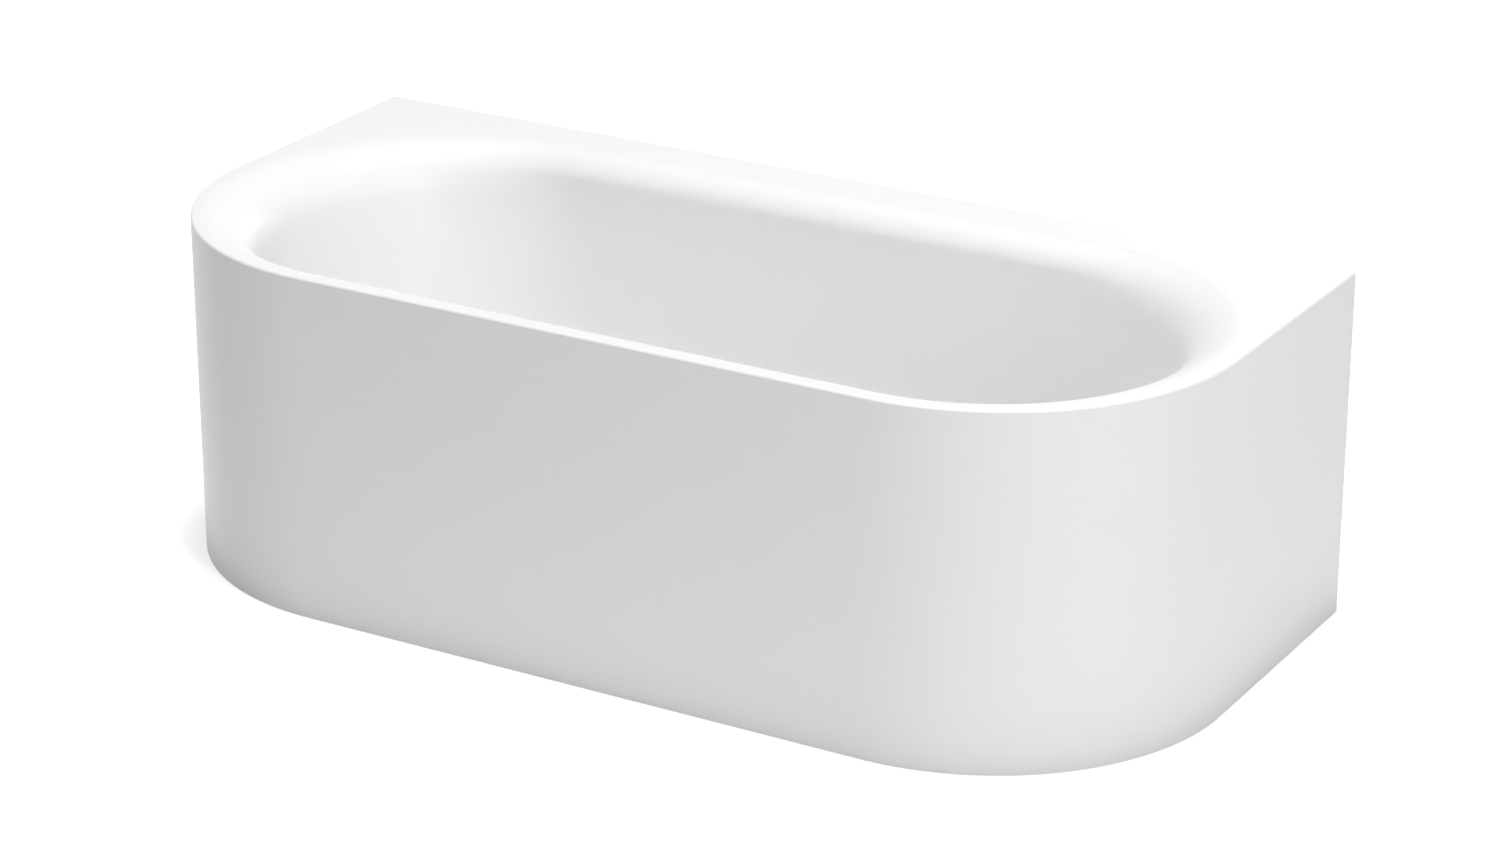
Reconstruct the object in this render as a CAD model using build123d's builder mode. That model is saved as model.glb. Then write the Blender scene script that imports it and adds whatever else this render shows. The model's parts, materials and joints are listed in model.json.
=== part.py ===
from build123d import *
from math import cos, pi, radians, sin, sqrt, tan
import os

# Millimetres. X runs along the bath, Y towards the wall behind it, Z up.
# The origin is on the floor, under the middle of the bath.

# Overall size of the bath
length = 1800.0
width = 850.0
height = 575.0
front_corner_radius = 400.0
edge_round = 4.0
sheet = 3.0

# Opening of the basin: flat land round it, then the roll down into the wall
front_land = 16.0
end_land = 16.0
rear_deck = 74.0
side_roll = 47.0
end_roll = 105.0
side_lean = 3.5
end_lean = 14.0
side_foot = 140.0
end_foot = 180.0
basin_depth = 420.0
floor_fall = 5.0
floor_dish_length = 120.0
floor_dish_width = 90.0
crest_drop = 0.5
end_flat = 2.0

# Turned-down edges of the tub and flanges of the panel
rim_lip = 8.0
rear_flange = 40.0
foot_flange = 25.0
return_flange = 30.0
stiffener_top = 10.0
stiffener_side = 20.0
stiffener_sheet = 2.5

# Cross rails, their pads and their brackets
rail_side = 30.0
rail_wall = 2.5
rail_spacing = 800.0
rail_end_gap = 30.0
rail_gap = 10.0
pad_length = 80.0
pad_spacing = 220.0
mat_length = 240.0
mat_width = 200.0
mat_sheet = 3.0
mat_offset = 200.0
end_mat_length = 100.0
end_mat_offset = 490.0
bracket_width = 40.0
bracket_leg = 55.0
bracket_rise = 50.0
bracket_sheet = 3.0
bracket_bolt_inset = 15.0
bracket_bolt_radius = 4.0
bracket_bolt_length = 46.0

# Levelling feet
foot_inset = 85.0
stem_radius = 5.0
stem_top = 158.0
pad_radius = 25.0
pad_neck_radius = 11.0
pad_height = 24.0
sole_sheet = 3.0
stem_socket = 8.0
nut_flats = 17.0
nut_height = 8.0
bush_height = 10.0

# Wall clips and earthing point
clip_spacing = 700.0
clip_width = 70.0
clip_drop = 65.0
clip_hook = 25.0
clip_hole_spacing = 40.0
clip_hole_radius = 3.25
clip_hole_drop = 40.0
lug_x = 620.0
lug_width = 25.0
lug_leg = 40.0
lug_back = 42.0
lug_bolt_radius = 3.0

# Clearances
running = 0.08
thread_fit = 0.05
slip = 0.3
seat_gap = 0.1
moving_gap = 0.3

# Drain fitting: heights are measured from the floor of the basin at the drain
drain_hole_radius = 26.0
flange_radius = 36.0
flange_sheet = 2.0
flange_seal_sheet = 1.2
tail_bore = 22.0
tail_radius = 24.8
tail_length = 14.0
spider_height = 6.0
spider_boss = 5.5
gasket_sheet = 3.0
body_flange_sheet = 5.0
neck_wall = 3.0
neck_length = 36.0
lid_sheet = 4.0
dip_radius = 25.0
dip_wall = 2.5
dip_length = 88.0

# Trap under the drain
cup_radius = 54.0
cup_wall = 3.0
cup_bottom = 5.0
trap_seal_sheet = 1.5
ring_wall = 4.7
ring_height = 12.0
ring_lip = 3.3
ring_lip_reach = 9.0
outlet_height = 72.0

# Pipes and their sockets
overflow_pipe_radius = 14.0
overflow_pipe_wall = 2.0
overflow_bend = 100.0
inlet_height = 126.0
inlet_radius = 14.0
inlet_wall = 2.5
outlet_pipe_radius = 20.0
outlet_pipe_wall = 2.0
outlet_pipe_length = 180.0
spigot_step = 0.3
socket_wall = 2.2
socket_depth = 18.0
socket_reach = 62.0
outlet_reach = 66.0
pipe_seal_sheet = 3.0
pipe_nut_wall = 2.8
pipe_nut_length = 17.0
pipe_nut_lip = 2.5

# Pop-up plug and the rocker that lifts it
plug_radius = 33.0
plug_sheet = 3.5
plug_edge = 1.8
plug_seal_sheet = 1.5
plug_seal_radius = 29.0
plug_boss = 6.0
plug_stem_radius = 2.5
plug_stem_foot = 120.2
rocker_height = 118.0
rocker_arm = 19.0
rocker_tip = 1.5
rocker_sheet = 3.0
rocker_width = 6.0
rocker_hub = 3.0
rocker_shaft_radius = 2.0
rocker_shaft_left = 19.0
rocker_shaft_right = 36.0
lever_x = 33.0
lever_width = 4.0
lever_rise = 12.0
cam_box_left = 20.0
cam_box_right = 41.0
cam_box_front = 1.0
cam_box_back = 37.0
cam_box_low = 112.0
cam_box_high = 134.0
cam_box_wall = 2.5
cam_bearing_face = 29.0

# Overflow fitting: distances are measured from the face of the basin wall
overflow_drop = 100.0
overflow_hole_radius = 26.0
overflow_body_radius = 33.0
overflow_body_depth = 41.0
overflow_wall = 2.5
overflow_flange_sheet = 3.0
overflow_pipe_gap = 13.0
overflow_socket_end = 58.0
fixing_plate_radius = 31.0
fixing_plate_sheet = 2.0
fixing_gap = 0.4
screw_offset = 20.0
screw_radius = 2.0
screw_head_radius = 4.0
screw_head_height = 2.4
screw_length = 28.0
screw_post_radius = 4.5
knob_radius = 37.5
knob_stand_off = 6.0
knob_wall = 3.0
knob_top = 21.5
knob_hub = 10.0
knob_scallops = 16
knob_scallop_radius = 3.0
shaft_radius = 6.0
shaft_front = 14.0
shaft_back = 36.0
drum_radius = 14.0
drum_front = 26.0
drum_length = 8.0

# Cable between the knob and the rocker
cable_x = 32.0
cable_radius = 2.5
cable_wire_radius = 1.0
cable_bend = 120.0
cable_height = 127.0
cable_top = 441.0
gland_radius = 3.8
gland_length = 10.0
cable_boss_radius = 5.5
cable_boss_top = 470.0
clamp_heights = (300.0, 370.0)
clamp_width = 8.0
clamp_wall = 2.0

# Places worked out from the sizes above
front_y = -width / 2
rear_y = width / 2
half_opening_length = length / 2 - end_land
half_opening_width = (width - front_land - rear_deck) / 2
basin_y = front_y + front_land + half_opening_width
drain_height = height - basin_depth - floor_fall
rail_top = drain_height - rail_gap
rail_bottom = rail_top - rail_side
rail_length = width - 2 * rail_end_gap
rail_front = front_y + rail_end_gap
foot_spacing = rail_length - 2 * foot_inset
drain = Plane(origin=(0, basin_y, drain_height))
rim_seam = height - rim_lip


def plan_face(inset, rear):
    """Plan of the bath, moved in at the front and the ends and reaching back to rear."""
    front = front_y + inset
    with BuildSketch() as plan:
        with Locations((0, (front + rear) / 2)):
            Rectangle(length - 2 * inset, rear - front)
        fillet(plan.vertices().group_by(Axis.Y)[0], front_corner_radius - inset)
    return plan.sketch


def wall_run(drop, roll, lean, foot):
    """How far the basin wall has come inward at a drop below the rim."""
    lean = radians(lean)
    roll_end = roll * (1 - sin(lean))
    foot_start = basin_depth - foot * (1 - sin(lean))
    if drop < crest_drop:
        crest_run = sqrt(roll**2 - (roll - crest_drop) ** 2)
        return crest_run - (crest_drop - drop) * (roll - crest_drop) / crest_run
    if drop < roll_end:
        return sqrt(roll**2 - (roll - drop) ** 2)
    if drop < foot_start:
        return roll * cos(lean) + (drop - roll_end) * tan(lean)
    foot_run = (roll + foot) * cos(lean) + (foot_start - roll_end) * tan(lean)
    return foot_run - sqrt(foot**2 - (foot - basin_depth + drop) ** 2)


def section_drops(wall):
    """Drops of the level sections that the basin's surface passes through."""
    drops = [-1.0, crest_drop]
    drops += [(side_roll - wall) * (1 - cos(radians(turn))) for turn in (20, 35, 50, 65, 80)]
    drops += [(end_roll - wall) * (1 - cos(radians(turn))) for turn in (60, 72)]
    foot = [basin_depth - (side_foot + wall) * (1 - cos(radians(turn))) for turn in (75, 60, 45, 30, 18, 7)]
    rest = foot[0] - drops[-1]
    return drops + [drops[-1] + rest * share for share in (0.2, 0.4, 0.6, 0.8)] + foot


def basin_section(drop, wall):
    """Half length and half width of the basin at a drop, a wall thickness outside its face."""
    end_run = wall_run(drop, end_roll - wall, end_lean, end_foot + wall)
    side_run = wall_run(drop, side_roll - wall, side_lean, side_foot + wall)
    return half_opening_length - end_run, half_opening_width - side_run


def oval_face(half_length, half_width):
    """Level oval of the basin: straight sides and round ends."""
    with BuildSketch() as oval:
        with Locations((0, basin_y)):
            RectangleRounded(2 * half_length, 2 * half_width, half_width - end_flat / 2)
    return oval.sketch


def basin_form(wall):
    """The basin as a solid: its inside at no wall, its outside at the sheet's thickness."""
    with BuildPart() as form:
        for drop in section_drops(wall):
            with BuildSketch(Plane.XY.offset(height - wall - drop)):
                add(oval_face(*basin_section(drop, wall)))
        loft()
    return form.part


def floor_form(wall):
    """The shallow fall of the floor, from the foot of the walls to the drain."""
    edge_drop = section_drops(wall)[-1]
    with BuildPart() as form:
        with BuildSketch(Plane.XY.offset(height - wall - edge_drop)):
            add(oval_face(*basin_section(edge_drop, wall)))
        with BuildSketch(Plane.XY.offset(drain_height - wall)):
            add(oval_face(floor_dish_length / 2, floor_dish_width / 2))
        loft(ruled=True)
    return form.part


def turned(plane, *profile):
    """A body of revolution about a plane's axis, from (radius, height) points."""
    upright = Plane(origin=plane.origin, x_dir=plane.x_dir, z_dir=-plane.y_dir)
    with BuildPart() as body:
        with BuildSketch(upright):
            with BuildLine():
                Polyline(*profile, close=True)
            make_face()
        revolve(axis=Axis(plane.origin, plane.z_dir))
    return body.part


def ring(plane, low, high, outer, inner=0.0):
    """A round disc or ring about a plane's axis, between two heights over the plane."""
    with BuildPart() as body:
        with BuildSketch(plane.offset(low)):
            Circle(outer)
            if inner > 0:
                Circle(inner, mode=Mode.SUBTRACT)
        extrude(amount=high - low)
    return body.part


def nut(plane, flats, thickness, bore):
    """A hexagon nut standing on a plane."""
    with BuildPart() as body:
        with BuildSketch(plane):
            RegularPolygon(flats / 2, 6, major_radius=False)
            Circle(bore, mode=Mode.SUBTRACT)
        extrude(amount=thickness)
    return body.part


def bolt(plane, flats, head, shank, reach):
    """A hexagon bolt: its head stands on the plane, its shank goes down from it."""
    with BuildPart() as body:
        with BuildSketch(plane):
            RegularPolygon(flats / 2, 6, major_radius=False)
        extrude(amount=head)
        with BuildSketch(plane):
            Circle(shank)
        extrude(amount=-reach)
    return body.part


def pipe_socket(mouth, pipe):
    """A socket that ends at a mouth plane, whose axis points out of the socket."""
    bore = pipe + slip / 2
    return ring(mouth, -socket_depth, 0, bore + socket_wall, bore)


def pipe_seal(mouth, pipe):
    """The flat seal between a socket's mouth and its nut."""
    return ring(mouth, 0, pipe_seal_sheet, pipe + slip / 2 + socket_wall, pipe + slip / 2)


def pipe_nut(mouth, pipe):
    """The union nut over a socket, with a lip that holds the seal."""
    bore = pipe + slip / 2 + socket_wall + slip / 2
    lip = pipe_seal_sheet + pipe_nut_lip
    return turned(
        mouth,
        (bore, lip - pipe_nut_length),
        (bore + pipe_nut_wall, lip - pipe_nut_length),
        (bore + pipe_nut_wall, lip),
        (pipe + slip, lip),
        (pipe + slip, pipe_seal_sheet),
        (bore, pipe_seal_sheet),
    )


# Basin, inside and outside
basin_inside = basin_form(0)
basin_outside = basin_form(sheet)
floor_inside = floor_form(0)
floor_outside = floor_form(sheet)

# Overflow plane: on the front wall's face, its axis square to the wall and into the basin
overflow_y = front_y + front_land + wall_run(overflow_drop, side_roll, side_lean, side_foot)
overflow_height = height - overflow_drop
overflow_axis = (0, cos(radians(side_lean)), sin(radians(side_lean)))
overflow = Plane(origin=(0, overflow_y, overflow_height), x_dir=(1, 0, 0), z_dir=overflow_axis)

# Tub: rim, deck, basin and rear flange in one pressing
with BuildPart() as tub_shell:
    with BuildSketch(Plane.XY.offset(rim_seam)):
        add(plan_face(0, rear_y))
    extrude(amount=rim_lip)
    fillet(tub_shell.faces().sort_by(Axis.Z)[-1].edges(), edge_round)
    with BuildSketch(Plane.XY.offset(rim_seam)):
        add(plan_face(sheet, rear_y - sheet))
    extrude(amount=rim_lip - sheet, mode=Mode.SUBTRACT)
    with BuildSketch(Plane.XY.offset(height - rear_flange)):
        with Locations((0, rear_y - sheet / 2)):
            Rectangle(length - 2 * sheet, sheet)
    extrude(amount=rear_flange - rim_lip)
    add(basin_outside)
    add(floor_outside)
    add(basin_inside, mode=Mode.SUBTRACT)
    add(floor_inside, mode=Mode.SUBTRACT)
    add(ring(drain, -2 * sheet, 2 * sheet, drain_hole_radius), mode=Mode.SUBTRACT)
    add(ring(overflow, -3 * sheet, 3 * sheet, overflow_hole_radius), mode=Mode.SUBTRACT)

# Panel: front and both ends in one sheet, with flanges at its foot and at the wall
with BuildPart() as apron_panel:
    with BuildSketch():
        add(plan_face(0, rear_y))
        add(plan_face(sheet, rear_y + sheet), mode=Mode.SUBTRACT)
    extrude(amount=rim_seam)
    with BuildSketch():
        add(plan_face(sheet, rear_y))
        add(plan_face(sheet + foot_flange, rear_y + sheet), mode=Mode.SUBTRACT)
    extrude(amount=sheet)
    with BuildSketch():
        flange_x = length / 2 - sheet - return_flange / 2
        with Locations((-flange_x, rear_y - sheet / 2), (flange_x, rear_y - sheet / 2)):
            Rectangle(return_flange, sheet)
    extrude(amount=height - rear_flange)

# Angle strip behind the seam of rim and panel
with BuildPart() as rim_stiffener:
    with BuildSketch(Plane.XY.offset(height - sheet - stiffener_sheet)):
        add(plan_face(sheet, rear_y - sheet))
        add(plan_face(sheet + stiffener_top, rear_y), mode=Mode.SUBTRACT)
    extrude(amount=stiffener_sheet)
    with BuildSketch(Plane.XY.offset(height - sheet - stiffener_side)):
        add(plan_face(sheet, rear_y - sheet))
        add(plan_face(sheet + stiffener_sheet, rear_y), mode=Mode.SUBTRACT)
    extrude(amount=stiffener_side)


def cross_rail(x):
    """Square tube across the bath, drilled for its feet and its bracket bolt."""
    with BuildPart() as rail:
        with BuildSketch(Plane.XZ.offset(-rail_front)):
            with Locations((x, rail_top - rail_side / 2)):
                Rectangle(rail_side, rail_side)
                Rectangle(rail_side - 2 * rail_wall, rail_side - 2 * rail_wall, mode=Mode.SUBTRACT)
        extrude(amount=-rail_length)
        with BuildSketch(Plane.XY.offset(rail_bottom)):
            with Locations((x, -foot_spacing / 2), (x, foot_spacing / 2)):
                Circle(stem_radius + slip)
            with Locations((x, rail_front + bracket_bolt_inset)):
                Circle(bracket_bolt_radius + slip)
        extrude(amount=rail_side, mode=Mode.SUBTRACT)
    return rail


rail_left = cross_rail(-rail_spacing / 2)
rail_right = cross_rail(rail_spacing / 2)

# Rubber pads: blocks on the rails, their tops shaped by the underside of the basin
with BuildPart() as support_pads:
    with BuildSketch(Plane.XY.offset(rail_top)):
        with Locations((0, basin_y)):
            with GridLocations(rail_spacing, pad_spacing, 2, 2):
                Rectangle(rail_side, pad_length)
    extrude(amount=rail_gap + floor_fall)
    add(basin_outside, mode=Mode.SUBTRACT)
    add(floor_outside, mode=Mode.SUBTRACT)

# Damping mats: they follow the underside of the basin's floor
with BuildPart() as sound_mats:
    add(basin_form(sheet + mat_sheet))
    add(floor_form(sheet + mat_sheet))
    with BuildSketch(Plane.XY.offset(rail_top)):
        with Locations((-mat_offset, basin_y), (mat_offset, basin_y)):
            Rectangle(mat_length, mat_width)
        with Locations((-end_mat_offset, basin_y), (end_mat_offset, basin_y)):
            Rectangle(end_mat_length, mat_width)
    extrude(amount=rail_gap + floor_fall + mat_sheet, mode=Mode.INTERSECT)
    add(basin_outside, mode=Mode.SUBTRACT)
    add(floor_outside, mode=Mode.SUBTRACT)

# Brackets between the rails and the panel
bracket_y = front_y + sheet
bolt_y = rail_front + bracket_bolt_inset
with BuildPart() as panel_brackets:
    with BuildSketch(Plane.XY.offset(rail_top)):
        with Locations((0, bracket_y + bracket_leg / 2)):
            with GridLocations(rail_spacing, 0, 2, 1):
                Rectangle(bracket_width, bracket_leg)
        with Locations((0, bolt_y)):
            with GridLocations(rail_spacing, 0, 2, 1):
                Circle(bracket_bolt_radius + slip, mode=Mode.SUBTRACT)
    extrude(amount=bracket_sheet)
    with BuildSketch(Plane.XY.offset(rail_top)):
        with Locations((0, bracket_y + bracket_sheet / 2)):
            with GridLocations(rail_spacing, 0, 2, 1):
                Rectangle(bracket_width, bracket_sheet)
    extrude(amount=bracket_rise)

with BuildPart() as bracket_bolts:
    for x in (-rail_spacing / 2, rail_spacing / 2):
        seat = Plane(origin=(x, bolt_y, rail_top + bracket_sheet))
        add(bolt(seat, 13, 5.3, bracket_bolt_radius, bracket_bolt_length))

with BuildPart() as bracket_nuts:
    for x in (-rail_spacing / 2, rail_spacing / 2):
        seat = Plane(origin=(x, bolt_y, rail_bottom))
        add(nut(seat.offset(-6.5), 13, 6.5, bracket_bolt_radius + thread_fit))

# Levelling feet
foot_places = {
    "front_left": (-rail_spacing / 2, -foot_spacing / 2),
    "front_right": (rail_spacing / 2, -foot_spacing / 2),
    "rear_left": (-rail_spacing / 2, foot_spacing / 2),
    "rear_right": (rail_spacing / 2, foot_spacing / 2),
}

with BuildPart() as foot_bushes:
    for x, y in foot_places.values():
        seat = Plane(origin=(x, y, rail_bottom - bush_height))
        add(nut(seat, nut_flats, bush_height, stem_radius + running))

with BuildPart() as lock_nuts:
    for x, y in foot_places.values():
        seat = Plane(origin=(x, y, rail_top))
        add(nut(seat, nut_flats, nut_height, stem_radius + running))


def foot_stem(x, y):
    """Threaded stem, drawn at its outer diameter, with a chamfered top."""
    base = Plane(origin=(x, y, 0))
    start = pad_height - stem_socket + moving_gap
    with BuildPart() as stem:
        add(ring(base, start, stem_top, stem_radius))
        chamfer(stem.faces().sort_by(Axis.Z)[-1].edges(), 1.0)
    return stem


def foot_pad(x, y):
    """Moulded foot with a socket for the stem."""
    with BuildPart() as pad:
        add(
            turned(
                Plane(origin=(x, y, 0)),
                (0, sole_sheet),
                (pad_radius, sole_sheet),
                (pad_radius, sole_sheet + 5),
                (pad_neck_radius, pad_height - 4),
                (pad_neck_radius, pad_height),
                (stem_radius + thread_fit, pad_height),
                (stem_radius + thread_fit, pad_height - stem_socket),
                (0, pad_height - stem_socket),
            )
        )
    return pad


def foot_sole(x, y):
    """Rubber sole under the foot."""
    with BuildPart() as sole:
        add(ring(Plane(origin=(x, y, 0)), 0, sole_sheet, pad_radius))
    return sole


# Clips on the wall: the rear flange of the tub drops over their hooks
hook_front = rear_y - 2 * sheet - moving_gap
clip_top = height - rear_flange - 2 * moving_gap
with BuildPart() as wall_clips:
    for x in (-clip_spacing, 0, clip_spacing):
        with BuildSketch(Plane.YZ.offset(x - clip_width / 2)):
            with BuildLine():
                Polyline(
                    (rear_y, clip_top - clip_drop),
                    (rear_y, clip_top),
                    (rear_y - sheet - moving_gap, clip_top),
                    (rear_y - sheet - moving_gap, clip_top + clip_hook),
                    (hook_front, clip_top + clip_hook),
                    (hook_front, clip_top - sheet),
                    (rear_y - sheet, clip_top - sheet),
                    (rear_y - sheet, clip_top - clip_drop),
                    close=True,
                )
            make_face()
        extrude(amount=clip_width)
        with BuildSketch(Plane.XZ.offset(-rear_y)):
            with Locations((x, clip_top - clip_hole_drop)):
                with GridLocations(clip_hole_spacing, 0, 2, 1):
                    Circle(clip_hole_radius)
        extrude(amount=2 * sheet, both=True, mode=Mode.SUBTRACT)

# Earthing lug under the deck, with its bolt and nut
lug_face = rear_y - lug_back
lug_bolt_height = height - sheet - lug_leg * 0.7
with BuildPart() as earth_lug:
    with BuildSketch(Plane.YZ.offset(lug_x - lug_width / 2)):
        with BuildLine():
            Polyline(
                (lug_face, height - sheet),
                (lug_face, height - sheet - lug_leg),
                (lug_face + sheet, height - sheet - lug_leg),
                (lug_face + sheet, height - 2 * sheet),
                (lug_face + lug_leg / 2, height - 2 * sheet),
                (lug_face + lug_leg / 2, height - sheet),
                close=True,
            )
        make_face()
    extrude(amount=lug_width)
    with BuildSketch(Plane.XZ.offset(-lug_face)):
        with Locations((lug_x, lug_bolt_height)):
            Circle(lug_bolt_radius + thread_fit)
    extrude(amount=-sheet, mode=Mode.SUBTRACT)

lug_plane = Plane(origin=(lug_x, lug_face, lug_bolt_height), x_dir=(1, 0, 0), z_dir=(0, -1, 0))
with BuildPart() as earth_bolt:
    add(bolt(lug_plane, 10, 4, lug_bolt_radius, 14))

with BuildPart() as earth_nut:
    add(nut(lug_plane.offset(-sheet - 5), 10, 5, lug_bolt_radius + thread_fit))

# Drain flange with its tail and the spider that guides the plug
flange_low = flange_seal_sheet
flange_high = flange_low + flange_sheet
with BuildPart() as waste_flange:
    add(
        turned(
            drain,
            (tail_bore, flange_high - 1),
            (tail_bore, -tail_length),
            (tail_radius, -tail_length),
            (tail_radius, flange_low),
            (flange_radius, flange_low),
            (flange_radius, flange_high - 1),
            (flange_radius - 1, flange_high),
            (tail_bore + 1, flange_high),
        )
    )
    with BuildSketch(drain.offset(-tail_length)):
        Circle(spider_boss)
        with PolarLocations(0, 3):
            with Locations((tail_bore / 2, 0)):
                Rectangle(tail_bore + 1, 3)
        Circle(plug_stem_radius + running, mode=Mode.SUBTRACT)
    extrude(amount=spider_height)

with BuildPart() as flange_seal:
    add(ring(drain, 0, flange_seal_sheet, flange_radius - 2, drain_hole_radius + 1))

gasket_low = -sheet - gasket_sheet
with BuildPart() as waste_gasket:
    add(ring(drain, gasket_low, -sheet, flange_radius + 1, drain_hole_radius + 1))

# Waste body: flange, neck with the overflow inlet, lid of the trap, dip tube and cam box
body_low = gasket_low - body_flange_sheet
neck_bore = tail_radius + slip
neck_radius = neck_bore + neck_wall
lid_high = gasket_low - neck_length
lid_low = lid_high - lid_sheet
inlet_mouth = Plane(
    origin=(0, basin_y - socket_reach - socket_depth, inlet_height), x_dir=(1, 0, 0), z_dir=(0, -1, 0)
)
inlet_plane = Plane(origin=(0, basin_y, inlet_height), x_dir=(1, 0, 0), z_dir=(0, -1, 0))
rocker_y = basin_y + rocker_arm
rocker_plane = Plane(origin=(0, rocker_y, rocker_height), x_dir=(0, 1, 0), z_dir=(1, 0, 0))
inner_left = cam_bearing_face
inner_right = cam_box_right - cam_box_wall
with BuildPart() as waste_body:
    add(
        turned(
            drain,
            (neck_bore, gasket_low),
            (flange_radius + 2, gasket_low),
            (flange_radius + 2, body_low),
            (neck_radius, body_low),
            (neck_radius, lid_high),
            (cup_radius, lid_high),
            (cup_radius, lid_low),
            (dip_radius, lid_low),
            (dip_radius, lid_low - dip_length),
            (dip_radius - dip_wall, lid_low - dip_length),
            (dip_radius - dip_wall, lid_high),
            (neck_bore, lid_high),
        )
    )
    add(ring(inlet_plane, neck_bore, socket_reach + 1, inlet_radius))
    add(ring(inlet_mouth, -socket_depth - 2, -socket_depth, overflow_pipe_radius + slip / 2 + socket_wall))
    add(pipe_socket(inlet_mouth, overflow_pipe_radius))
    with BuildSketch(Plane.XY.offset(cam_box_low)):
        with Locations(((cam_box_left + cam_box_right) / 2, basin_y + (cam_box_front + cam_box_back) / 2)):
            Rectangle(cam_box_right - cam_box_left, cam_box_back - cam_box_front)
    extrude(amount=cam_box_high - cam_box_low)
    with BuildSketch(Plane.XY.offset(cam_box_low + cam_box_wall)):
        with Locations(((inner_left + inner_right) / 2, basin_y + (cam_box_front + cam_box_back) / 2)):
            Rectangle(inner_right - inner_left, cam_box_back - cam_box_front - 2 * cam_box_wall)
    extrude(amount=cam_box_high - cam_box_low - 2 * cam_box_wall, mode=Mode.SUBTRACT)
    add(ring(drain, lid_high, gasket_low, neck_bore), mode=Mode.SUBTRACT)
    add(
        ring(inlet_plane, tail_bore, socket_reach + 2, inlet_radius - inlet_wall),
        mode=Mode.SUBTRACT,
    )
    add(
        ring(rocker_plane, -rocker_shaft_left - moving_gap, inner_left, rocker_shaft_radius + running),
        mode=Mode.SUBTRACT,
    )
    with BuildSketch(Plane.XZ.offset(-basin_y - cam_box_front)):
        with Locations((cable_x, cable_height)):
            Circle(cable_wire_radius + slip)
    extrude(amount=-cam_box_wall, mode=Mode.SUBTRACT)

# Trap: cup, flat seal and union ring
seal_low = lid_low - trap_seal_sheet
cup_low = cup_bottom - drain_height
outlet_plane = Plane(origin=(0, basin_y, outlet_height), x_dir=(-1, 0, 0), z_dir=(0, 1, 0))
outlet_mouth = outlet_plane.offset(outlet_reach + socket_depth)
outlet_socket = outlet_pipe_radius + slip / 2 + socket_wall
with BuildPart() as trap_cup:
    add(ring(drain, cup_low, seal_low, cup_radius))
    add(ring(outlet_plane, cup_radius - 4 * cup_wall, outlet_reach, outlet_socket))
    add(ring(drain, cup_low + cup_wall, seal_low, cup_radius - cup_wall), mode=Mode.SUBTRACT)
    add(
        ring(outlet_plane, cup_radius - 4 * cup_wall, outlet_reach, outlet_pipe_radius - outlet_pipe_wall),
        mode=Mode.SUBTRACT,
    )
    add(pipe_socket(outlet_mouth, outlet_pipe_radius))

with BuildPart() as trap_seal:
    add(ring(drain, seal_low, lid_low, cup_radius - 1, cup_radius - 6))

ring_bore = cup_radius + slip
with BuildPart() as trap_ring:
    add(
        turned(
            drain,
            (ring_bore, lid_high - ring_height),
            (ring_bore + ring_wall, lid_high - ring_height),
            (ring_bore + ring_wall, lid_high + ring_lip),
            (cup_radius - ring_lip_reach, lid_high + ring_lip),
            (cup_radius - ring_lip_reach, lid_high),
            (ring_bore, lid_high),
        )
    )

spigot_radius = outlet_pipe_radius - spigot_step
with BuildPart() as outlet_seal:
    add(pipe_seal(outlet_mouth, spigot_radius))

with BuildPart() as outlet_nut:
    add(pipe_nut(outlet_mouth, outlet_pipe_radius))

spigot_end = pipe_seal_sheet + pipe_nut_lip + 1
pipe_low = 1 - socket_depth
pipe_bore = outlet_pipe_radius - outlet_pipe_wall
with BuildPart() as outlet_pipe:
    add(ring(outlet_mouth, pipe_low, spigot_end, spigot_radius, pipe_bore))
    add(ring(outlet_mouth, spigot_end, pipe_low + outlet_pipe_length, outlet_pipe_radius, pipe_bore))

# Pop-up plug
seal_rest = flange_high + moving_gap
cap_low = seal_rest + plug_seal_sheet
cap_high = cap_low + plug_sheet
with BuildPart() as plug_cap:
    add(
        turned(
            drain,
            (0, cap_high),
            (0, cap_low),
            (plug_stem_radius + thread_fit, cap_low),
            (plug_stem_radius + thread_fit, flange_low),
            (plug_boss, flange_low),
            (plug_boss, cap_low),
            (plug_seal_radius + slip, cap_low),
            (plug_seal_radius + slip, seal_rest),
            (plug_radius, seal_rest),
            (plug_radius, cap_high),
        )
    )
    fillet(plug_cap.faces().sort_by(Axis.Z)[-1].edges(), plug_edge)

with BuildPart() as plug_seal:
    add(ring(drain, seal_rest, cap_low, plug_seal_radius, tail_bore + 0.5))

with BuildPart() as plug_stem:
    add(ring(drain, plug_stem_foot - drain_height, cap_low, plug_stem_radius))

# Rocker: shaft, arm under the plug's stem and lever in the cam box
with BuildPart() as lift_rocker:
    add(ring(rocker_plane, -rocker_shaft_left, rocker_shaft_right, rocker_shaft_radius))
    add(ring(rocker_plane, -rocker_width / 2, rocker_width / 2, rocker_hub))
    add(ring(rocker_plane, lever_x - lever_width / 2, lever_x + lever_width / 2, rocker_hub))
    with BuildSketch(rocker_plane.offset(-rocker_width / 2)):
        with Locations((-(rocker_arm + rocker_tip) / 2, 0)):
            Rectangle(rocker_arm + rocker_tip, rocker_sheet)
    extrude(amount=rocker_width)
    with BuildSketch(rocker_plane.offset(lever_x - lever_width / 2)):
        with Locations((0, lever_rise / 2)):
            Rectangle(lever_width, lever_rise)
    extrude(amount=lever_width)

# Overflow gasket and body, behind the front wall of the basin
overflow_gasket_low = -sheet - seat_gap - gasket_sheet
overflow_flange_low = overflow_gasket_low - overflow_flange_sheet
overflow_low = overflow_flange_low - overflow_body_depth + overflow_flange_sheet
with BuildPart() as overflow_gasket:
    add(ring(overflow, overflow_gasket_low, -sheet - seat_gap, flange_radius, overflow_hole_radius + 1))

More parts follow.
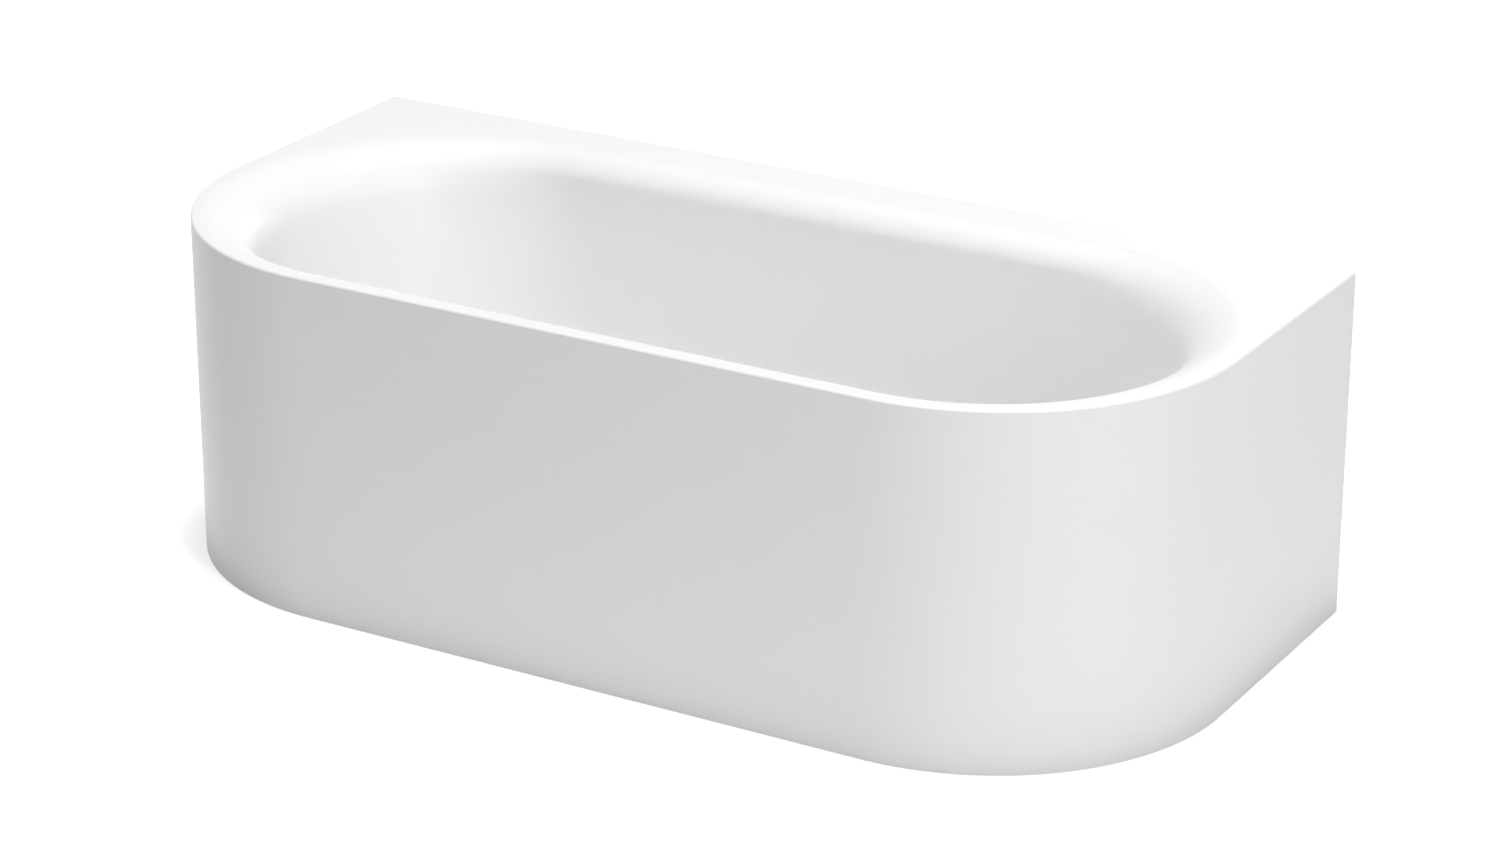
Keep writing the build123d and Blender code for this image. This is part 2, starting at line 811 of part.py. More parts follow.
overflow_pipe_y = overflow_y - overflow_pipe_radius - overflow_pipe_gap
overflow_mouth = Plane(
    origin=(0, overflow_pipe_y, overflow_height - overflow_socket_end), x_dir=(1, 0, 0), z_dir=(0, 0, -1)
)
socket_outer = overflow_pipe_radius + slip / 2 + socket_wall
screw_places = ((-screw_offset, 0), (screw_offset, 0))
with BuildPart() as overflow_body:
    add(ring(overflow, overflow_flange_low, overflow_gasket_low, flange_radius))
    add(ring(overflow, overflow_low, overflow_flange_low, overflow_body_radius))
    add(ring(overflow_mouth, -overflow_socket_end, 0, socket_outer))
    with BuildSketch(Plane.XY.offset(cable_top)):
        with Locations((cable_x, overflow_pipe_y)):
            Circle(cable_boss_radius)
    extrude(amount=cable_boss_top - cable_top)
    add(
        ring(
            overflow,
            overflow_low + overflow_wall,
            overflow_flange_low,
            overflow_body_radius - overflow_wall,
        ),
        mode=Mode.SUBTRACT,
    )
    add(
        ring(overflow, overflow_flange_low, overflow_gasket_low, overflow_hole_radius - 1),
        mode=Mode.SUBTRACT,
    )
    add(
        ring(overflow_mouth, -overflow_socket_end, 0, overflow_pipe_radius - overflow_pipe_wall),
        mode=Mode.SUBTRACT,
    )
    add(
        ring(overflow_mouth, -socket_depth, 0, overflow_pipe_radius + slip / 2),
        mode=Mode.SUBTRACT,
    )
    with BuildSketch(overflow.offset(overflow_low + overflow_wall)):
        with Locations(*screw_places):
            Circle(screw_post_radius)
            Circle(screw_radius + thread_fit, mode=Mode.SUBTRACT)
    extrude(amount=overflow_flange_low - overflow_low - overflow_wall)
    with BuildSketch(Plane.XY.offset(cable_top)):
        with Locations((cable_x, overflow_pipe_y)):
            Circle(cable_wire_radius + slip)
    extrude(amount=cable_boss_top - cable_top, mode=Mode.SUBTRACT)

# Plate inside the basin that clamps the overflow body, with its two screws
plate_high = fixing_gap + fixing_plate_sheet
with BuildPart() as fixing_plate:
    with BuildSketch(overflow.offset(fixing_gap)):
        Circle(fixing_plate_radius)
        Circle(shaft_radius + running, mode=Mode.SUBTRACT)
        with Locations(*screw_places):
            Circle(screw_radius + slip, mode=Mode.SUBTRACT)
        with Locations((0, -screw_offset + 3), (0, screw_offset - 3)):
            SlotOverall(24, 9, mode=Mode.SUBTRACT)
    extrude(amount=fixing_plate_sheet)

with BuildPart() as fixing_screws:
    with BuildSketch(overflow.offset(plate_high)):
        with Locations(*screw_places):
            Circle(screw_head_radius)
    extrude(amount=screw_head_height)
    with BuildSketch(overflow.offset(plate_high)):
        with Locations(*screw_places):
            Circle(screw_radius)
    extrude(amount=-screw_length)

# Knob, its shaft and the drum that winds the cable
with BuildPart() as knob_cap:
    add(
        turned(
            overflow,
            (0, knob_top),
            (0, shaft_front),
            (shaft_radius + thread_fit, shaft_front),
            (shaft_radius + thread_fit, knob_stand_off + 2),
            (knob_hub, knob_stand_off + 2),
            (knob_hub, knob_top - knob_wall),
            (knob_radius - knob_wall, knob_top - knob_wall),
            (knob_radius - knob_wall, knob_stand_off),
            (knob_radius, knob_stand_off),
            (knob_radius, knob_top),
        )
    )
    face = knob_cap.faces().sort_by(Axis(overflow.origin, overflow.z_dir))[-1]
    fillet(face.edges(), 2.0)
    with BuildSketch(overflow.offset(knob_stand_off)):
        with PolarLocations(knob_radius + 1.8, knob_scallops):
            Circle(knob_scallop_radius)
    extrude(amount=knob_top, mode=Mode.SUBTRACT)

with BuildPart() as knob_shaft:
    add(ring(overflow, -shaft_back, shaft_front, shaft_radius))

with BuildPart() as cable_drum:
    add(
        turned(
            overflow,
            (shaft_radius + thread_fit, -drum_front),
            (shaft_radius + thread_fit, -drum_front - drum_length),
            (drum_radius, -drum_front - drum_length),
            (drum_radius, -drum_front - drum_length + 2),
            (drum_radius - 2, -drum_front - drum_length / 2),
            (drum_radius, -drum_front - 2),
            (drum_radius, -drum_front),
        )
    )

# Overflow pipe: straight down behind the front wall, then back under the basin
pipe_start = overflow_height - overflow_socket_end + socket_depth - 1
pipe_end = basin_y - socket_reach - 1
with BuildPart() as overflow_pipe:
    with BuildLine() as pipe_path:
        FilletPolyline(
            (0, overflow_pipe_y, pipe_start),
            (0, overflow_pipe_y, inlet_height),
            (0, pipe_end, inlet_height),
            radius=overflow_bend,
        )
    with BuildSketch(Plane(origin=(0, overflow_pipe_y, pipe_start), z_dir=(0, 0, -1))):
        Circle(overflow_pipe_radius)
        Circle(overflow_pipe_radius - overflow_pipe_wall, mode=Mode.SUBTRACT)
    sweep(path=pipe_path.line)

with BuildPart() as pipe_seals:
    add(pipe_seal(overflow_mouth, overflow_pipe_radius))
    add(pipe_seal(inlet_mouth, overflow_pipe_radius))

with BuildPart() as pipe_nuts:
    add(pipe_nut(overflow_mouth, overflow_pipe_radius))
    add(pipe_nut(inlet_mouth, overflow_pipe_radius))

# Cable sheath from the overflow body to the cam box, with a gland at each end
cable_end = basin_y + cam_box_front
with BuildPart() as bowden_sheath:
    with BuildLine() as cable_path:
        FilletPolyline(
            (cable_x, overflow_pipe_y, cable_top),
            (cable_x, overflow_pipe_y, cable_height),
            (cable_x, cable_end, cable_height),
            radius=cable_bend,
        )
    with BuildSketch(Plane(origin=(cable_x, overflow_pipe_y, cable_top), z_dir=(0, 0, -1))):
        Circle(cable_radius)
        Circle(cable_wire_radius, mode=Mode.SUBTRACT)
    sweep(path=cable_path.line)

sheath_length = sum(edge.length for edge in cable_path.edges())
sheath_section = pi * (cable_radius**2 - cable_wire_radius**2)
print("sheath length", round(sheath_length, 1), "least bend radius", cable_bend)
print("volume over section times length", bowden_sheath.part.volume / (sheath_section * sheath_length))

top_gland = Plane(origin=(cable_x, overflow_pipe_y, cable_top), z_dir=(0, 0, -1))
end_gland = Plane(origin=(cable_x, cable_end, cable_height), x_dir=(1, 0, 0), z_dir=(0, -1, 0))
with BuildPart() as cable_glands:
    add(ring(top_gland, 0, gland_length, gland_radius, cable_radius + thread_fit))
    add(ring(end_gland, 0, gland_length, gland_radius, cable_radius + thread_fit))

# Clamps that hold the sheath to the overflow pipe
with BuildPart() as cable_clamps:
    for level in clamp_heights:
        with BuildSketch(Plane.XY.offset(level)):
            with Locations((0, overflow_pipe_y)):
                Circle(overflow_pipe_radius + thread_fit + clamp_wall)
            with Locations((cable_x, overflow_pipe_y)):
                Circle(cable_radius + thread_fit + clamp_wall)
            with Locations(((overflow_pipe_radius + cable_x) / 2, overflow_pipe_y)):
                Rectangle(cable_x - overflow_pipe_radius, clamp_wall)
            with Locations((0, overflow_pipe_y)):
                Circle(overflow_pipe_radius + thread_fit, mode=Mode.SUBTRACT)
            with Locations((cable_x, overflow_pipe_y)):
                Circle(cable_radius + thread_fit, mode=Mode.SUBTRACT)
        extrude(amount=clamp_width)

pieces = {
    "tub_shell": tub_shell,
    "apron_panel": apron_panel,
    "rim_stiffener": rim_stiffener,
    "rail_left": rail_left,
    "rail_right": rail_right,
    "support_pads": support_pads,
    "sound_mats": sound_mats,
    "panel_brackets": panel_brackets,
    "bracket_bolts": bracket_bolts,
    "bracket_nuts": bracket_nuts,
    "foot_bushes": foot_bushes,
    "lock_nuts": lock_nuts,
    "wall_clips": wall_clips,
    "earth_lug": earth_lug,
    "earth_bolt": earth_bolt,
    "earth_nut": earth_nut,
    "waste_flange": waste_flange,
    "flange_seal": flange_seal,
    "waste_gasket": waste_gasket,
    "waste_body": waste_body,
    "trap_cup": trap_cup,
    "trap_seal": trap_seal,
    "trap_ring": trap_ring,
    "outlet_seal": outlet_seal,
    "outlet_nut": outlet_nut,
    "outlet_pipe": outlet_pipe,
    "plug_cap": plug_cap,
    "plug_seal": plug_seal,
    "plug_stem": plug_stem,
    "lift_rocker": lift_rocker,
    "overflow_gasket": overflow_gasket,
    "overflow_body": overflow_body,
    "fixing_plate": fixing_plate,
    "fixing_screws": fixing_screws,
    "knob_cap": knob_cap,
    "knob_shaft": knob_shaft,
    "cable_drum": cable_drum,
    "overflow_pipe": overflow_pipe,
    "pipe_seals": pipe_seals,
    "pipe_nuts": pipe_nuts,
    "bowden_sheath": bowden_sheath,
    "cable_glands": cable_glands,
    "cable_clamps": cable_clamps,
}
for place, (x, y) in foot_places.items():
    pieces[f"foot_stem_{place}"] = foot_stem(x, y)
    pieces[f"foot_pad_{place}"] = foot_pad(x, y)
    pieces[f"foot_sole_{place}"] = foot_sole(x, y)

os.makedirs("parts", exist_ok=True)
for name, piece in pieces.items():
    piece.part.label = name
    export_step(piece.part, f"parts/{name}.step")
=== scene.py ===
import bpy
import bmesh
import json
import math
import numpy as np
from mathutils import Matrix, Vector


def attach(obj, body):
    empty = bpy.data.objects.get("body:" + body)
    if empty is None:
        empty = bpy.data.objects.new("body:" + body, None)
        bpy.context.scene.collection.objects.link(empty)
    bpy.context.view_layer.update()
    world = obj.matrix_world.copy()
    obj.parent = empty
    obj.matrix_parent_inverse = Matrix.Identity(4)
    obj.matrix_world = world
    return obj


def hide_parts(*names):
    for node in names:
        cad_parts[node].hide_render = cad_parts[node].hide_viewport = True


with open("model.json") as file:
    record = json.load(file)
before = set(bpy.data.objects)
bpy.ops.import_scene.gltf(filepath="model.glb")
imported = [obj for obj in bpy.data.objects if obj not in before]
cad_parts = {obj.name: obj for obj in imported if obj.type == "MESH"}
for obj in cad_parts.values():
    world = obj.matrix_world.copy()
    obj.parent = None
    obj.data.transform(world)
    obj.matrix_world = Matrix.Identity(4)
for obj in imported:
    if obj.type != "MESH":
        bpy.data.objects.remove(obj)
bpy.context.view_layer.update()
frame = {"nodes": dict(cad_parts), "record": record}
nodes = frame["nodes"]

# Sizes, in metres
LENGTH, WIDTH, HEIGHT = 1.8, 0.85, 0.575
CORNER = 0.400
EDGE = 0.004
SHEET = 0.003
SIDE_ROLL, END_ROLL = 0.047, 0.105
SIDE_LEAN, END_LEAN = math.radians(3.5), math.radians(14.0)
SIDE_FOOT, END_FOOT = 0.140, 0.180
DEPTH, FALL = 0.420, 0.005
HALF_LENGTH, HALF_WIDTH = 0.884, 0.380
BASIN_Y = -0.029
LIP, REAR_FLANGE = 0.008, 0.040
FOOT_FLANGE, RETURN_FLANGE = 0.025, 0.030
DRAIN_Z = HEIGHT - DEPTH - FALL
DRAIN_R = 0.026
DISH = (0.060, 0.045)
OVERFLOW = Vector((0, -0.358666, 0.475))
WALL_AXIS = Vector((0, math.cos(SIDE_LEAN), math.sin(SIDE_LEAN)))


# Mesh helpers
def new_piece(name, verts, faces, body="frame", stands_for=(), slot=None, sharp=30.0, material=None):
    """A mesh object with smooth faces and sharp edges over an angle, riding on a body."""
    mesh = bpy.data.meshes.new(name)
    mesh.from_pydata([tuple(v) for v in verts], [], faces)
    mesh.validate()
    obj = bpy.data.objects.new(name, mesh)
    bpy.context.scene.collection.objects.link(obj)
    finish_mesh(obj, sharp)
    settle(obj, body, stands_for, material)
    return obj


def finish_mesh(obj, sharp=30.0):
    """Outward normals, smooth faces, sharp edges over an angle."""
    mesh = obj.data
    bm = bmesh.new()
    bm.from_mesh(mesh)
    bmesh.ops.remove_doubles(bm, verts=bm.verts, dist=1e-7)
    bmesh.ops.recalc_face_normals(bm, faces=bm.faces)
    bm.to_mesh(mesh)
    bm.free()
    mesh.shade_smooth()
    mesh.set_sharp_from_angle(angle=math.radians(sharp))


def settle(obj, body, stands_for=(), material=None):
    """Body, replaced nodes, material slot and material of a piece."""
    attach(obj, body)
    if stands_for:
        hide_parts(*stands_for)
    if material:
        obj.data.materials.clear()
        obj.data.materials.append(material)


def apply_modifiers(obj):
    """Bakes an object's modifiers into its mesh."""
    bpy.context.view_layer.update()
    graph = bpy.context.evaluated_depsgraph_get()
    mesh = bpy.data.meshes.new_from_object(obj.evaluated_get(graph))
    old = obj.data
    obj.modifiers.clear()
    obj.data = mesh
    bpy.data.meshes.remove(old)


def boolean(obj, other, operation):
    """Cuts obj by other, or joins other to it, and removes other."""
    mod = obj.modifiers.new("cut", "BOOLEAN")
    mod.object = other
    mod.operation = operation
    mod.solver = "EXACT"
    apply_modifiers(obj)
    mesh = other.data
    bpy.data.objects.remove(other)
    bpy.data.meshes.remove(mesh)


def raw_object(name, verts, faces):
    """A bare helper object for a cut or a union."""
    mesh = bpy.data.meshes.new(name)
    mesh.from_pydata([tuple(v) for v in verts], [], faces)
    obj = bpy.data.objects.new(name, mesh)
    bpy.context.scene.collection.objects.link(obj)
    return obj


def grid(rings, closed_rows):
    """Vertices and quads of rings of equal length; closed_rows joins the last ring to the first."""
    rings = [np.asarray(r, float) for r in rings]
    n = len(rings[0])
    verts = np.concatenate(rings)
    faces = []
    rows = len(rings)
    for i in range(rows if closed_rows else rows - 1):
        a, b = i * n, ((i + 1) % rows) * n
        for j in range(n):
            k = (j + 1) % n
            faces.append((a + j, a + k, b + k, b + j))
    return verts, faces


# Plan curves
STRAIGHT, ARC, SIDE, REAR = 40, 48, 24, 22
CORNER_X, CORNER_Y = LENGTH / 2 - CORNER, -WIDTH / 2 + CORNER
CENTRE_X = HALF_LENGTH - HALF_WIDTH


def quarter_plan():
    """Right half of the plan from the middle of the front to the middle of the rear, as
    (kind, share) steps; every ring of the tub has a point at each step."""
    steps = [("front", i / (STRAIGHT / 2)) for i in range(STRAIGHT // 2)]
    steps += [("arc", i / ARC) for i in range(ARC)]
    steps += [("side", i / SIDE) for i in range(SIDE)]
    rear_x = LENGTH / 2 - CENTRE_X
    steps += [("rear", 0.0), ("rear", SHEET / rear_x), ("rear", (SHEET + 0.0001) / rear_x)]
    steps += [("rear", i / REAR) for i in range(1, REAR)]
    steps += [("back", i / (STRAIGHT / 2)) for i in range(STRAIGHT // 2)]
    return steps + [("end", 0.0)]


STEPS = quarter_plan()


def outline_point(kind, share, inset):
    """Point of the outer plan, moved in by inset, on the right half."""
    if kind == "front":
        return share * CORNER_X, -WIDTH / 2 + inset
    if kind == "arc":
        turn = math.radians(-90 + 90 * share)
        r = CORNER - inset
        return CORNER_X + r * math.cos(turn), CORNER_Y + r * math.sin(turn)
    if kind == "side":
        return LENGTH / 2 - inset, CORNER_Y + share * (WIDTH / 2 - inset - CORNER_Y)
    if kind == "rear":
        x = LENGTH / 2 - inset
        return x + share * (CENTRE_X - x), WIDTH / 2 - inset
    if kind == "back":
        return CENTRE_X * (1 - share), WIDTH / 2 - inset
    return 0.0, WIDTH / 2 - inset


def oval_point(kind, share, half_l, half_w):
    """Point of the basin's oval at the same step as outline_point."""
    cx = half_l - half_w
    if kind == "front":
        return cx * share, BASIN_Y - half_w
    if kind in ("back", "end"):
        return (cx * (1 - share) if kind == "back" else 0.0), BASIN_Y + half_w
    if kind == "arc":
        turn = math.radians(-90 + 90 * share)
    else:
        x, y = outline_point(kind, share, 0.0)
        turn = math.atan2(y - BASIN_Y, x - CENTRE_X)
        if kind == "side":
            lowest = math.atan2(CORNER_Y - BASIN_Y, LENGTH / 2 - CENTRE_X)
            turn -= lowest * (1 - share)
    return cx + half_w * math.cos(turn), BASIN_Y + half_w * math.sin(turn)


def mirrored(points):
    """Whole ring from the points of its right half."""
    left = [(-x, y) for x, y in points[-2:0:-1]]
    return points + left


def outline_ring(inset, z, rear_z=None):
    """Ring of the outer plan; rear_z gives the rear edge's height where it differs."""
    pts, heights = [], []
    deep = SHEET / (LENGTH / 2 - CENTRE_X) + 1e-9
    for kind, share in STEPS:
        pts.append(outline_point(kind, share, inset))
        behind = kind in ("back", "end") or (kind == "rear" and share > deep)
        heights.append(rear_z if rear_z is not None and behind else z)
    heights = heights + heights[-2:0:-1]
    return [(x, y, h) for (x, y), h in zip(mirrored(pts), heights)]


def oval_ring(half_l, half_w, z):
    """Ring of the basin at one height."""
    return [(x, y, z) for x, y in mirrored([oval_point(k, s, half_l, half_w) for k, s in STEPS])]


def circle_ring(radius, z):
    """Ring round the drain, its points at the bearings of the floor's oval."""
    ring = []
    for x, y, _ in oval_ring(DISH[0], DISH[1], z):
        d = math.hypot(x, y - BASIN_Y)
        ring.append((x / d * radius, BASIN_Y + (y - BASIN_Y) / d * radius, z))
    return ring


def between(a, b, share):
    """Ring part of the way from ring a to ring b."""
    return [tuple(p + (q - p) * share for p, q in zip(u, v)) for u, v in zip(a, b)]


# Basin profile
FLOOR_RINGS, WALL_RINGS = 13, 14


def wall_run(drop, roll, lean, foot):
    """How far the basin wall has come inward at a drop below the rim."""
    roll_end = roll * (1 - math.sin(lean))
    foot_start = DEPTH - foot * (1 - math.sin(lean))
    if drop < roll_end:
        return math.sqrt(max(roll**2 - (roll - drop) ** 2, 0))
    if drop < foot_start:
        return roll * math.cos(lean) + (drop - roll_end) * math.tan(lean)
    run = (roll + foot) * math.cos(lean) + (foot_start - roll_end) * math.tan(lean)
    return run - math.sqrt(max(foot**2 - (foot - DEPTH + drop) ** 2, 0))


def basin_drops(wall, fine):
    """Drops of the rings: close together round the roll and the foot."""
    drops = [(SIDE_ROLL - wall) * (1 - math.cos(math.radians(a))) for a in range(2, 88, fine)]
    drops += [(END_ROLL - wall) * (1 - math.cos(math.radians(a))) for a in range(40, 78, fine)]
    foot = [DEPTH - (SIDE_FOOT + wall) * (1 - math.cos(math.radians(a))) for a in range(2, 88, fine + 1)]
    start, end = max(drops), min(foot)
    drops += [start + (end - start) * i / WALL_RINGS for i in range(1, WALL_RINGS)]
    drops = sorted(drops + foot)
    kept = [drops[0]]
    for d in drops[1:]:
        if d - kept[-1] > 0.00025:
            kept.append(d)
    return kept


def basin_rings(wall, fine):
    """Rings of one face of the basin, from the rim down to the foot."""
    rings = [oval_ring(HALF_LENGTH, HALF_WIDTH, HEIGHT - wall)]
    for d in basin_drops(wall, fine):
        half_l = HALF_LENGTH - wall_run(d, END_ROLL - wall, END_LEAN, END_FOOT + wall)
        half_w = HALF_WIDTH - wall_run(d, SIDE_ROLL - wall, SIDE_LEAN, SIDE_FOOT + wall)
        rings.append(oval_ring(half_l, half_w, HEIGHT - wall - d))
    dish = oval_ring(DISH[0], DISH[1], DRAIN_Z - wall)
    foot = rings[-1]
    for i in range(1, FLOOR_RINGS):
        rings.append(between(foot, dish, i / FLOOR_RINGS))
    rings.append(dish)
    hole = circle_ring(DRAIN_R, DRAIN_Z - wall)
    rings += [between(dish, hole, s) for s in (0.34, 0.67)]
    rings.append(hole)
    return rings


# Node helpers for materials
def tree_of(name):
    mat = bpy.data.materials.new(name)
    mat.use_nodes = True
    tree = mat.node_tree
    tree.nodes.clear()
    out = tree.nodes.new("ShaderNodeOutputMaterial")
    bsdf = tree.nodes.new("ShaderNodeBsdfPrincipled")
    tree.links.new(bsdf.outputs[0], out.inputs[0])
    coords = tree.nodes.new("ShaderNodeTexCoord")
    return mat, tree, bsdf, coords.outputs["Object"]


def noise(tree, coords, scale, detail=2.0, rough=0.5, stretch=None):
    if stretch is not None:
        mapping = tree.nodes.new("ShaderNodeMapping")
        mapping.inputs["Scale"].default_value = stretch
        tree.links.new(coords, mapping.inputs[0])
        coords = mapping.outputs[0]
    node = tree.nodes.new("ShaderNodeTexNoise")
    node.inputs["Scale"].default_value = scale
    node.inputs["Detail"].default_value = detail
    node.inputs["Roughness"].default_value = rough
    tree.links.new(coords, node.inputs["Vector"])
    return node.outputs["Fac"]


def cells(tree, coords, scale, feature="F1"):
    node = tree.nodes.new("ShaderNodeTexVoronoi")
    node.feature = feature
    node.inputs["Scale"].default_value = scale
    tree.links.new(coords, node.inputs["Vector"])
    return node


def ramp(tree, value, stops):
    node = tree.nodes.new("ShaderNodeValToRGB")
    elements = node.color_ramp.elements
    while len(elements) < len(stops):
        elements.new(0.5)
    for element, (place, colour) in zip(elements, stops):
        element.position = place
        element.color = (*colour, 1.0)
    tree.links.new(value, node.inputs[0])
    return node.outputs["Color"]


def spread(tree, value, low, high, from_low=0.3, from_high=0.7):
    node = tree.nodes.new("ShaderNodeMapRange")
    limits = {"From Min": from_low, "From Max": from_high, "To Min": low, "To Max": high}
    for key, number in limits.items():
        node.inputs[key].default_value = number
    tree.links.new(value, node.inputs["Value"])
    return node.outputs["Result"]


def bump(tree, bsdf, height, distance, strength=1.0, under=None):
    node = tree.nodes.new("ShaderNodeBump")
    node.inputs["Strength"].default_value = strength
    node.inputs["Distance"].default_value = distance
    tree.links.new(height, node.inputs["Height"])
    if under is not None:
        tree.links.new(under, node.inputs["Normal"])
    tree.links.new(node.outputs[0], bsdf.inputs["Normal"])
    return node.outputs[0]


def enamel():
    """Enamel: nearly even white, silky, with a very fine grain."""
    mat, tree, bsdf, co = tree_of("white_enamel")
    cloud = noise(tree, co, 1.3, 1.0)
    shades = [(0.3, (0.874, 0.874, 0.870)), (0.7, (0.882, 0.882, 0.879))]
    tree.links.new(ramp(tree, cloud, shades), bsdf.inputs["Base Color"])
    tree.links.new(spread(tree, noise(tree, co, 2.0, 0.0), 0.33, 0.37), bsdf.inputs["Roughness"])
    bump(tree, bsdf, noise(tree, co, 900.0, 1.0), 0.000004)
    bsdf.inputs["IOR"].default_value = 1.5
    bsdf.inputs["Specular IOR Level"].default_value = 0.28
    return mat


def zinc(name, dark, light, scale, rough):
    """Galvanised or zinc-plated steel: spangle cells and streaks."""
    mat, tree, bsdf, co = tree_of(name)
    flakes = cells(tree, co, scale)
    grey = tree.nodes.new("ShaderNodeSeparateColor")
    tree.links.new(flakes.outputs["Color"], grey.inputs[0])
    tree.links.new(ramp(tree, grey.outputs[0], [(0.0, dark), (1.0, light)]), bsdf.inputs["Base Color"])
    wear = noise(tree, co, 60.0, 4.0)
    tree.links.new(spread(tree, wear, rough - 0.08, rough + 0.10), bsdf.inputs["Roughness"])
    bsdf.inputs["Metallic"].default_value = 1.0
    bump(tree, bsdf, noise(tree, co, 900.0, 2.0), 0.00002)
    return mat


def threaded(name, dark, light, rough, pitch, depth):
    """Zinc-plated rod with a rolled thread: bands along Z, one a pitch, with painted shade that colours
    the grooves dark and the crests light.
    """
    mat, tree, bsdf, co = tree_of(name)
    bands = tree.nodes.new("ShaderNodeTexWave")
    bands.wave_type = "BANDS"
    bands.bands_direction = "Z"
    bands.inputs["Scale"].default_value = 2 * math.pi / (WAVE_STEPS * pitch)
    tree.links.new(co, bands.inputs["Vector"])
    # painted shade: the thread bands colour the grooves dark and the crests light, following the bump
    # height
    shades = ramp(tree, bands.outputs["Fac"], [(0.1, dark), (0.6, light)])
    tree.links.new(shades, bsdf.inputs["Base Color"])
    wear = noise(tree, co, 60.0, 4.0)
    tree.links.new(spread(tree, wear, rough - 0.05, rough + 0.08), bsdf.inputs["Roughness"])
    bsdf.inputs["Metallic"].default_value = 1.0
    bump(tree, bsdf, bands.outputs["Fac"], depth)
    return mat


def brushed(name, dark, light, rough, stretch):
    """Metal with fine lines along one direction."""
    mat, tree, bsdf, co = tree_of(name)
    lines = noise(tree, co, 300.0, 3.0, 0.6, stretch)
    tree.links.new(ramp(tree, lines, [(0.3, dark), (0.7, light)]), bsdf.inputs["Base Color"])
    tree.links.new(spread(tree, lines, rough - 0.05, rough + 0.08), bsdf.inputs["Roughness"])
    bsdf.inputs["Metallic"].default_value = 1.0
    bump(tree, bsdf, lines, 0.00001)
    return mat


def chrome():
    mat, tree, bsdf, co = tree_of("bright_chrome")
    film = noise(tree, co, 40.0, 5.0)
    shades = ramp(tree, film, [(0.3, (0.74, 0.75, 0.77)), (0.7, (0.80, 0.81, 0.82))])
    tree.links.new(shades, bsdf.inputs["Base Color"])
    tree.links.new(spread(tree, film, 0.05, 0.11), bsdf.inputs["Roughness"])
    bsdf.inputs["Metallic"].default_value = 1.0
    bump(tree, bsdf, noise(tree, co, 1500.0, 1.0), 0.000002)
    return mat


def moulded(name, dark, light, rough, grain=1400.0, depth=0.00002):
    """Moulded plastic or rubber: fine grain, faint flow marks."""
    mat, tree, bsdf, co = tree_of(name)
    flow = noise(tree, co, 22.0, 4.0, 0.6, (1.0, 1.0, 0.35))
    tree.links.new(ramp(tree, flow, [(0.3, dark), (0.7, light)]), bsdf.inputs["Base Color"])
    tree.links.new(spread(tree, flow, rough - 0.05, rough + 0.06), bsdf.inputs["Roughness"])
    bump(tree, bsdf, noise(tree, co, grain, 2.0), depth)
    return mat


WAVE_STEPS = 20.0
STEM_PITCH, STEM_THREAD = 0.0015, 0.0006
MATERIALS = {
    "enamel": enamel(),
    "galvanised": zinc("galvanised_steel", (0.42, 0.44, 0.46), (0.60, 0.62, 0.64), 90.0, 0.42),
    "zinc_fasteners": zinc("zinc_plated_steel", (0.60, 0.60, 0.58), (0.72, 0.72, 0.70), 400.0, 0.28),
    "pad_rubber": moulded("epdm_rubber", (0.016, 0.016, 0.017), (0.030, 0.030, 0.030), 0.75),
    "mat_bitumen": moulded(
        "bitumen_felt", (0.018, 0.017, 0.016), (0.045, 0.043, 0.040), 0.88, 500.0, 0.0002
    ),
    "foot_plastic": moulded("foot_plastic", (0.030, 0.031, 0.033), (0.045, 0.046, 0.048), 0.45),
    "sole_rubber": moulded("sole_rubber", (0.020, 0.020, 0.020), (0.034, 0.034, 0.034), 0.80),
    "chrome_parts": chrome(),
    "seal_rubber": moulded("seal_rubber", (0.014, 0.014, 0.015), (0.026, 0.026, 0.027), 0.62),
    "white_plastic": moulded("white_polypropylene", (0.66, 0.665, 0.65), (0.72, 0.725, 0.715), 0.40),
    "grey_plastic": moulded("grey_polypropylene", (0.20, 0.205, 0.21), (0.25, 0.255, 0.26), 0.42),
    "black_plastic": moulded("black_plastic", (0.014, 0.014, 0.015), (0.024, 0.024, 0.025), 0.38),
    "brass_parts": brushed(
        "turned_brass", (0.58, 0.42, 0.20), (0.72, 0.56, 0.30), 0.26, (1.0, 1.0, 14.0)
    ),
    "stainless": brushed(
        "brushed_stainless", (0.52, 0.52, 0.52), (0.68, 0.68, 0.68), 0.30, (14.0, 1.0, 1.0)
    ),
}

# Tub: one closed sheet
rear_low = HEIGHT - REAR_FLANGE
tub_rings = basin_rings(0.0, 3)[::-1]
crest = tub_rings[-1]
shoulder = outline_ring(EDGE, HEIGHT)
tub_rings += [between(crest, shoulder, s) for s in (0.06, 0.3, 0.6, 0.9)]
for i in range(9):
    turn = math.radians(90 * i / 8)
    tub_rings.append(outline_ring(EDGE * (1 - math.sin(turn)), HEIGHT - EDGE * (1 - math.cos(turn))))
tub_rings.append(outline_ring(0.0, HEIGHT - LIP, rear_low))
tub_rings.append(outline_ring(SHEET, HEIGHT - LIP, rear_low))
tub_rings.append(outline_ring(SHEET, HEIGHT - SHEET))
under = basin_rings(SHEET, 6)
tub_rings.append(between(tub_rings[-1], under[0], 0.5))
tub_rings += under
tub = new_piece("enamelled_tub", *grid(tub_rings, True), stands_for=["tub_shell"], slot="enamel")
hole = bmesh.new()
bmesh.ops.create_cone(hole, cap_ends=True, segments=72, radius1=DRAIN_R, radius2=DRAIN_R, depth=0.03)
hole_mesh = bpy.data.meshes.new("overflow_cut")
hole.to_mesh(hole_mesh)
hole.free()
cutter = bpy.data.objects.new("overflow_cut", hole_mesh)
bpy.context.scene.collection.objects.link(cutter)
cutter.rotation_mode = "QUATERNION"
cutter.rotation_quaternion = WALL_AXIS.to_track_quat("Z", "Y")
cutter.location = OVERFLOW
